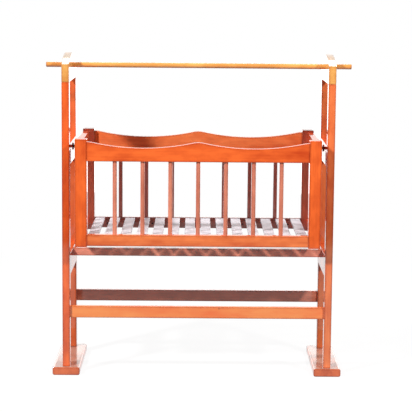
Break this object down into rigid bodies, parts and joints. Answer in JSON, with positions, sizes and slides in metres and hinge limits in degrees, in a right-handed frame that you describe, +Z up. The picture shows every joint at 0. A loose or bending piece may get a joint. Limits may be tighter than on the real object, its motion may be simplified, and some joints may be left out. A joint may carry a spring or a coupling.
{
  "type": "swinging cradle",
  "caption": "Wooden cradle: a basket with scalloped rails, spindle sides and a slatted floor swings on pivots between two end frames joined by rails and a net bar.",
  "frame": {"origin": "on the floor, midway between the two foot boards and between the front and the back", "axes": "+X along the cradle to the right of someone facing its front, +Y from front to back, +Z up"},
  "size_m": [1.164, 0.47, 1.212],
  "materials": {
    "lacquered_wood": "gloss lacquer, orange-brown",
    "pale_slat_wood": "smooth, pale",
    "black_steel": "black, satin",
    "screw_steel": "zinc plated"
  },
  "bodies": {
    "stand": {"centre_stretcher": "lacquered_wood", "front_brace_rail": "lacquered_wood", "left_foot_board": "lacquered_wood", "left_front_post": "lacquered_wood", "left_lower_rail": "lacquered_wood", "left_pivot_bush": "black_steel", "left_pivot_rail": "lacquered_wood", "left_rear_post": "lacquered_wood", "left_top_arch": "lacquered_wood", "net_bar": "lacquered_wood", "net_bar_screws": "screw_steel", "rear_brace_rail": "lacquered_wood", "right_foot_board": "lacquered_wood", "right_front_post": "lacquered_wood", "right_lower_rail": "lacquered_wood", "right_pivot_bush": "black_steel", "right_pivot_rail": "lacquered_wood", "right_rear_post": "lacquered_wood", "right_top_arch": "lacquered_wood"},
    "basket": {"front_bottom_rail": "lacquered_wood", "front_slat_ledger": "lacquered_wood", "front_spindles": "lacquered_wood", "front_top_rail": "lacquered_wood", "ledger_screws": "black_steel", "left_end_bottom_rail": "lacquered_wood", "left_end_spindles": "lacquered_wood", "left_end_top_rail": "lacquered_wood", "left_front_basket_post": "lacquered_wood", "left_pivot_bolt": "black_steel", "left_rear_basket_post": "lacquered_wood", "pivot_clamp_nuts": "black_steel", "pivot_clamp_washers": "black_steel", "pivot_nuts": "black_steel", "pivot_washers": "black_steel", "rear_bottom_rail": "lacquered_wood", "rear_slat_ledger": "lacquered_wood", "rear_spindles": "lacquered_wood", "rear_top_rail": "lacquered_wood", "right_end_bottom_rail": "lacquered_wood", "right_end_spindles": "lacquered_wood", "right_end_top_rail": "lacquered_wood", "right_front_basket_post": "lacquered_wood", "right_pivot_bolt": "black_steel", "right_rear_basket_post": "lacquered_wood", "slat_01": "pale_slat_wood", "slat_02": "pale_slat_wood", "slat_03": "pale_slat_wood", "slat_04": "pale_slat_wood", "slat_05": "pale_slat_wood", "slat_06": "pale_slat_wood", "slat_07": "pale_slat_wood", "slat_08": "pale_slat_wood", "slat_09": "pale_slat_wood", "slat_10": "pale_slat_wood", "slat_11": "pale_slat_wood", "slat_12": "pale_slat_wood", "slat_13": "pale_slat_wood", "slat_14": "pale_slat_wood", "slat_screws": "black_steel"}
  },
  "joints": [
    {"name": "basket_swing", "type": "hinge", "parent": "stand", "child": "basket", "pos_m": [0, 0, 0.853], "axis": [1, 0, 0], "range_deg": [-25, 25]}
  ]
}
